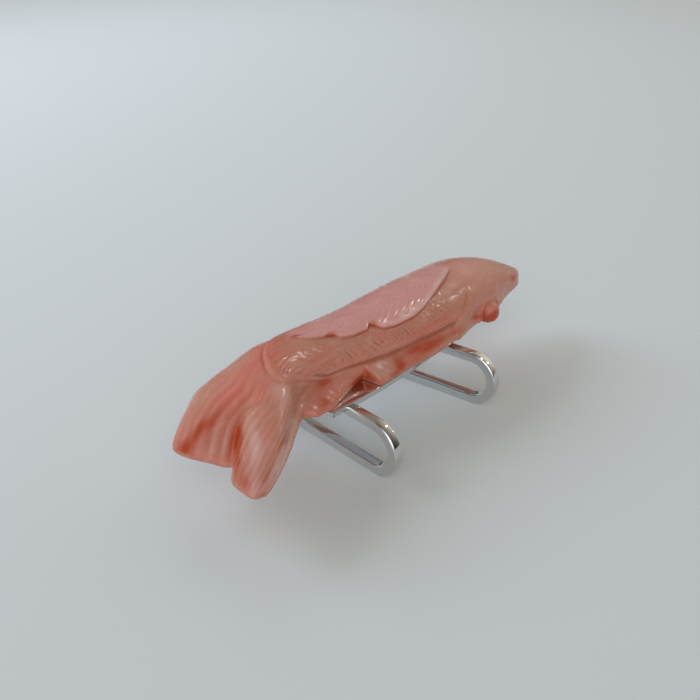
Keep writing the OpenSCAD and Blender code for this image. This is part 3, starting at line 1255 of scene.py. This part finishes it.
@dataclass(frozen=True)
class PlatedFinish:
    """Mirror-bright plated metal, with the slight waves that bending and polishing leave."""

    colour: Colour = (0.70, 0.70, 0.71)
    roughness: tuple[float, float] = (0.03, 0.09)
    wear_scale: float = 900.0
    wave_scale: float = 420.0
    wave_depth: float = 0.05
    wave_share: float = 0.5

    def dress(self, piece: bpy.types.Object) -> None:
        """Gives the fitting its plating.

        Args:
            piece: The fitting.
        """
        shader = Shader("bright_plating")
        shader.even(Base_Color=(*self.colour, 1), Metallic=1.0)
        wear = shader.shaped(shader.noise(self.wear_scale, 4), 0.35, 0.75, *self.roughness)
        shader.link(wear, shader.surface["Roughness"])
        shader.bumped(shader.noise(self.wave_scale, 2), self.wave_depth, self.wave_share)
        shader.put_on(piece)


# for each colour: place along the carp, angle, half length, half width, strength and lean
ZONES: dict[Tint, Rows] = {
    Tint.RUST: (
        (-1.8, 57, 0.45, 6, 0.75), (-6.4, 66, 0.5, 6, 0.75), (-9.1, 95, 0.6, 6, 0.95),
        (14.3, -10, 1.3, 9, 0.95), (12.5, -3, 0.7, 10, 0.75), (25.2, 42, 0.5, 13, 0.7),
        (24.1, 26, 0.9, 9, 0.45), (22.6, 22, 0.8, 9, 0.85), (4.4, -8, 3.2, 8, 1.0, 0.9),
        (8.9, -11, 1.4, 8, 0.6), (1.8, -22, 2.6, 5, 0.5), (-0.9, -14, 0.8, 10, 1.0),
        # (-4.5, -13) is painted shade on the first fin's back wall, which darkens its reflection
        # in the plate
        (-2.1, -23, 0.8, 6, 0.6), (1.6, -4, 1.9, 5, 0.7), (-4.5, -13, 0.15, 12, 0.9),
        # (-6.2, -24) is deep red on the recess wall between the fins: partly coral colour, partly
        # painted shade
        (-6.2, -24, 1.7, 9, 0.85), (-9.5, 0, 1.2, 4, 0.9), (-11.2, -15, 0.9, 7, 0.6),
        (-20.5, 86, 3.0, 6, 0.4), (-24.2, 77, 1.8, 9, 0.9, 2.0),
        (-25.0, 66, 1.0, 12, 0.8, 4.0), (-25.8, 42, 0.6, 14, 0.65),
        # (-5.4, -24) is deep red on the same recess wall: partly coral colour, partly painted
        # shade
        (-19.7, 10, 2.4, 6, 0.75, -5.0), (-24.0, 13, 1.6, 5, 0.5), (-5.4, -24, 1.1, 9, 0.9),
        (-24.2, 116, 2.8, 7, 0.8, -3.5), (-26.1, 128, 0.7, 13, 0.45),
    ),
    Tint.PINK: (
        (-23.0, 38, 3.5, 22, 0.55), (14.6, 66, 1.6, 12, 0.5), (17.0, 84, 6.0, 18, 0.6),
        (-25.6, 18, 0.8, 16, 1.0), (-22.0, 156, 4.0, 14, 0.8),
    ),
    Tint.BLUSH: (
        (14.2, -1, 2.0, 14, 0.9), (-13.0, 50, 2.5, 30, 0.5), (17.0, 84, 4.0, 16, 0.5),
        (2.0, -12, 3.2, 10, 0.75), (5.5, 12, 6.0, 9, 0.6), (-9.4, -8, 2.4, 14, 0.5),
        (-12.5, 95, 3.0, 40, 0.45), (-19.0, 102, 4.5, 16, 0.75), (-18.0, 70, 3.0, 20, 0.5),
    ),
    Tint.PALE: (
        # (-22.0, 3) is painted light on the near tail lobe's steep right side, where the shape is
        # shaded more
        (-3.3, -13, 1.0, 10, 0.35), (-15.8, 45, 1.6, 22, 0.55), (-22.0, 3, 2.5, 6, 0.8),
        # (-20.0, -5) is painted light on the same steep side of the near lobe
        (17.0, 55, 5.0, 30, 0.3), (-20.0, -5, 5.0, 9, 1.0), (-22.4, 50, 2.6, 11, 0.7, 5.6),
        (-25.0, 97, 1.5, 9, 0.25, -4.0), (-22.0, 160, 4.0, 12, 0.45),
    ),
    # painted shade: a dark line along the crease at the low fins' foot, and the shaded wall of
    # the notch's recess
    Tint.GROOVE_SHADE: ((1.5, 5, 7.0, 4, 0.55), (-5.4, -24, 1.1, 9, 1.0)),
}


@dataclass
class Studio:
    """The pale floor, the soft lights and the camera."""

    floor_half: float = 4.0
    floor_colour: Colour = (0.70, 0.735, 0.74)
    floor_roughness: float = 0.65
    floor_specular: float = 0.25
    camera_at: Point = (-62.41, -51.47, 55.84)
    look: Point = (0.63667, 0.58046, -0.50765)
    up: Point = (0.39222, 0.32304, 0.86128)
    focal_pixels: float = 850.0
    image_pixels: float = 700.0
    sensor: float = 36.0
    sight: tuple[float, float] = (0.002, 20.0)
    # the middle of each glow in the room, then its colour
    glows: tuple[tuple[Point, Colour], ...] = (
        ((-0.65, -0.6, 0.45), (2.18, 2.20, 2.17)),
        ((-0.2, 0.87, 0.42), (0.78, 0.73, 0.65)),
        ((0.9, -0.1, 0.42), (0.93, 0.83, 0.66)),
    )
    glow_power: float = 5.0
    # name, place in metres, power
    windows: tuple[tuple[str, Point, float], ...] = (
        ("window", (-0.12, 0.30, 0.22), 0.60),
        ("far_window", (0.18, 0.26, 0.22), 0.22),
    )
    window_size: float = 0.2
    window_colour: Colour = (0.74, 0.84, 1.0)
    lamps: tuple[tuple[str, Point, float], ...] = (
        ("lamp_far", (0.31, -0.05, 0.39), 0.16),
        ("lamp_right", (0.36, -0.20, 0.29), 0.06),
    )
    lamp_size: float = 0.032
    lamp_colour: Colour = (1.0, 1.0, 1.0)

    def floor(self) -> None:
        """Lays the pale sheet that the ornament stands on."""
        mesh = bmesh.new()
        bmesh.ops.create_grid(mesh, x_segments=2, y_segments=2, size=self.floor_half)
        sheet = finished("pale_floor", mesh)
        shader = Shader("pale_paper")
        shader.even(
            Base_Color=(*self.floor_colour, 1), Roughness=self.floor_roughness,
            Specular_IOR_Level=self.floor_specular,
        )
        shader.put_on(sheet)

    def light(
        self, name: str, place: Point, size: float, watts: float, colour: Colour
    ) -> bpy.types.Object:
        """Hangs a square soft light that faces the ornament.

        Args:
            name: The light's name.
            place: Its place, in metres.
            size: The length of its side, in metres.
            watts: Its power.
            colour: Its colour.

        Returns:
            The light.
        """
        lamp = bpy.data.lights.new(name, "AREA")
        lamp.size, lamp.energy, lamp.color = size, watts, colour
        holder = bpy.data.objects.new(name, lamp)
        holder.location = place
        holder.rotation_mode = "QUATERNION"
        holder.rotation_quaternion = (-Vector(place)).to_track_quat("-Z", "Y")
        bpy.context.scene.collection.objects.link(holder)
        return holder

    def lights(self) -> None:
        """Hangs the windows, which give no glints, and the lamps, which give nothing else."""
        for name, place, watts in self.windows:
            window = self.light(name, place, self.window_size, watts, self.window_colour)
            window.visible_glossy = False
        for name, place, watts in self.lamps:
            lamp = self.light(name, place, self.lamp_size, watts, self.lamp_colour)
            lamp.visible_diffuse = False

    def sky(self) -> None:
        """Surrounds the scene with a dim room that has a few broad glows."""
        world = bpy.data.worlds.new("room")
        world.use_nodes = True
        tree = world.node_tree
        place = tree.nodes.new("ShaderNodeTexCoord").outputs["Generated"]
        total = None
        for middle, colour in self.glows:
            facing = tree.nodes.new("ShaderNodeVectorMath")
            facing.operation = "DOT_PRODUCT"
            facing.inputs[1].default_value = Vector(middle).normalized()
            tree.links.new(place, facing.inputs[0])
            share = facing.outputs["Value"]
            for operation, number in (("MAXIMUM", 0.0), ("POWER", self.glow_power)):
                step = tree.nodes.new("ShaderNodeMath")
                step.operation, step.inputs[1].default_value = operation, number
                tree.links.new(share, step.inputs[0])
                share = step.outputs[0]
            lit = tree.nodes.new("ShaderNodeVectorMath")
            lit.operation, lit.inputs[1].default_value = "MULTIPLY_ADD", colour
            tree.links.new(share, lit.inputs[0])
            if total:
                tree.links.new(total, lit.inputs[2])
            total = lit.outputs["Vector"]
        tree.links.new(total, tree.nodes["Background"].inputs["Color"])
        bpy.context.scene.world = world

    def camera(self) -> None:
        """Sets the camera where the photograph was taken from."""
        data = bpy.data.cameras.new("photo_camera")
        data.sensor_width = self.sensor
        data.lens = self.focal_pixels / self.image_pixels * self.sensor
        data.clip_start, data.clip_end = self.sight
        holder = bpy.data.objects.new("photo_camera", data)
        look, up = Vector(self.look).normalized(), Vector(self.up)
        right = look.cross(up).normalized()
        turn = Matrix((right, right.cross(look), -look)).transposed()
        holder.matrix_world = Matrix.Translation(Vector(self.camera_at) * MM) @ turn.to_4x4()
        bpy.context.scene.collection.objects.link(holder)
        bpy.context.scene.camera = holder

    def build(self) -> None:
        """Sets up the whole studio."""
        self.floor()
        self.sky()
        self.camera()
        self.lights()
        bpy.context.scene.view_settings.view_transform = "Standard"


def add(piece: bpy.types.Object, node: str) -> None:
    """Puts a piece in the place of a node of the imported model.

    Args:
        piece: The piece.
        node: The node that it stands for.
    """
    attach(piece, BODY)
    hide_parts(node)
    LOG.info("%s: %d faces", piece.name, len(piece.data.polygons))


def main() -> None:
    """Builds the ornament and its studio."""
    logging.basicConfig(level=logging.INFO, format="%(name)s: %(message)s")
    Studio().build()
    patches = tuple(Patch(tint, *row) for tint, rows in ZONES.items() for row in rows)
    carp = Carving().build(patches)
    CoralFinish().dress(carp)
    add(carp, "coral_fish")
    fitting = CordFitting().build()
    PlatedFinish().dress(fitting)
    add(fitting, "cord_fitting")


if __name__ == "__main__":
    main()
